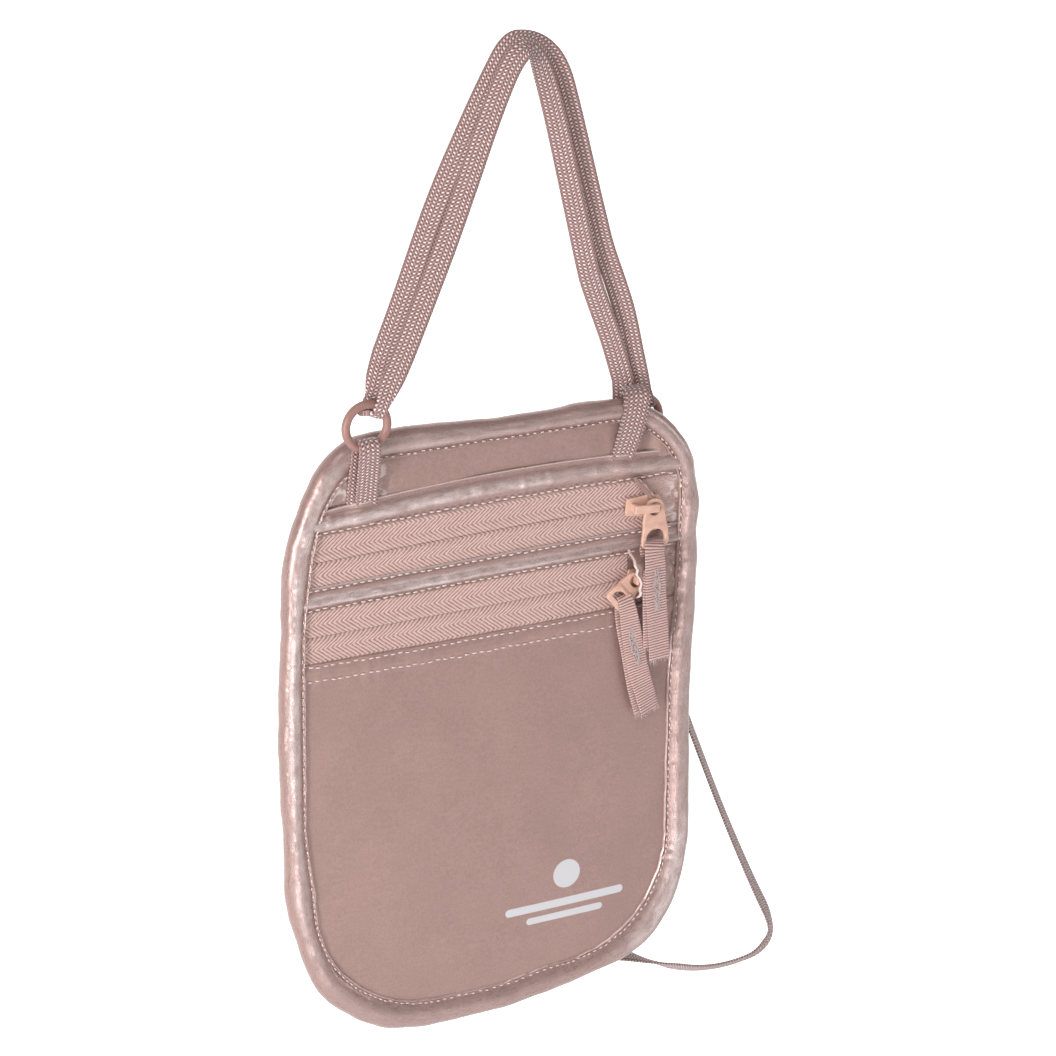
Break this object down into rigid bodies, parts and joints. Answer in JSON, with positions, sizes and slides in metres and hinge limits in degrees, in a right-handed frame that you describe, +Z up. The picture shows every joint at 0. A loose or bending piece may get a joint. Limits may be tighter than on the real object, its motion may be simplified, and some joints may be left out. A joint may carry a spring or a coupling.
{
  "type": "neck pouch wallet",
  "caption": "Flat zipped travel pouch in rose satin, hung from a flat braided neck strap that runs through rings on webbing loops at its top edge",
  "frame": {"origin": "the hang point, under the top fold of the neck strap where a neck or a hook holds it", "axes": "+X to the right seen from the front, +Y to the back, towards the wearer, +Z up"},
  "size_m": [0.1788, 0.029, 0.315],
  "materials": {
    "satin": "soft satin weave, light sheen",
    "band_satin": "glossy satin, puckered along its stitching",
    "binding_satin": "glossy satin, wrinkled, bright sheen",
    "back_cloth": "matt close-woven cloth",
    "lining_cloth": "thin plain-woven lining",
    "zip_tape": "matt herringbone tape",
    "zip_coil": "satin nylon",
    "thread": "polyester sewing thread",
    "webbing": "flat braid with pale dots",
    "strap": "flat braid with pale dots",
    "ring_plastic": "smooth moulded, slight sheen",
    "zip_metal": "satin enamel",
    "ribbon": "ribbed grosgrain"
  },
  "bodies": {
    "pouch": {"front_panel": "satin", "top_panel": "satin", "zip_end_lining": "satin", "top_band": "band_satin", "mid_band": "band_satin", "edge_binding": "binding_satin", "back_panel": "back_cloth", "back_lining": "lining_cloth", "pocket_divider": "lining_cloth", "upper_zip_upper_tape": "zip_tape", "upper_zip_lower_tape": "zip_tape", "lower_zip_upper_tape": "zip_tape", "lower_zip_lower_tape": "zip_tape", "upper_zip_upper_coil": "zip_coil", "upper_zip_lower_coil": "zip_coil", "lower_zip_upper_coil": "zip_coil", "lower_zip_lower_coil": "zip_coil", "binding_stitching": "thread", "top_band_stitching": "thread", "mid_band_stitching": "thread", "front_panel_stitching": "thread", "webbing_loop_left": "webbing", "webbing_loop_right": "webbing", "neck_strap": "strap"},
    "left_ring": {"ring_left": "ring_plastic"},
    "right_ring": {"ring_right": "ring_plastic"},
    "upper_slide": {"upper_slider": "zip_metal"},
    "lower_slide": {"lower_slider": "zip_metal"},
    "upper_pull": {"upper_puller": "zip_metal"},
    "lower_pull": {"lower_puller": "zip_metal"},
    "upper_tab": {"upper_pull_tab": "ribbon", "upper_tab_tack": "thread"},
    "lower_tab": {"lower_pull_tab": "ribbon", "lower_tab_tack": "thread"}
  },
  "joints": [
    {"name": "ring_left_spin", "type": "hinge", "parent": "pouch", "child": "left_ring", "pos_m": [-0.0551, -0.0066, -0.1014], "axis": [0, 1, 0], "continuous": true},
    {"name": "ring_right_spin", "type": "hinge", "parent": "pouch", "child": "right_ring", "pos_m": [0.041, 0.0065, -0.1181], "axis": [0, 1, 0], "continuous": true},
    {"name": "upper_zip_slide", "type": "slide", "parent": "pouch", "child": "upper_slide", "axis": [-1, 0, 0], "range_m": [0, 0.096]},
    {"name": "lower_zip_slide", "type": "slide", "parent": "pouch", "child": "lower_slide", "axis": [-1, 0, 0], "range_m": [0, 0.097]},
    {"name": "upper_puller_swing", "type": "hinge", "parent": "upper_slide", "child": "upper_pull", "pos_m": [0.0409, 0, -0.1425], "axis": [0, 1, 0], "range_deg": [-90, 35]},
    {"name": "lower_puller_swing", "type": "hinge", "parent": "lower_slide", "child": "lower_pull", "pos_m": [0.0348, 0, -0.165], "axis": [0, 1, 0], "range_deg": [-75, 30]},
    {"name": "upper_tab_fold", "type": "hinge", "parent": "upper_pull", "child": "upper_tab", "pos_m": [0.0409, -0.0046, -0.1536], "axis": [-1, 0, 0], "range_deg": [0, 105]},
    {"name": "lower_tab_swing", "type": "hinge", "parent": "lower_pull", "child": "lower_tab", "pos_m": [0.02902, 0, -0.17181], "axis": [0, 1, 0], "range_deg": [-10, 70]}
  ]
}
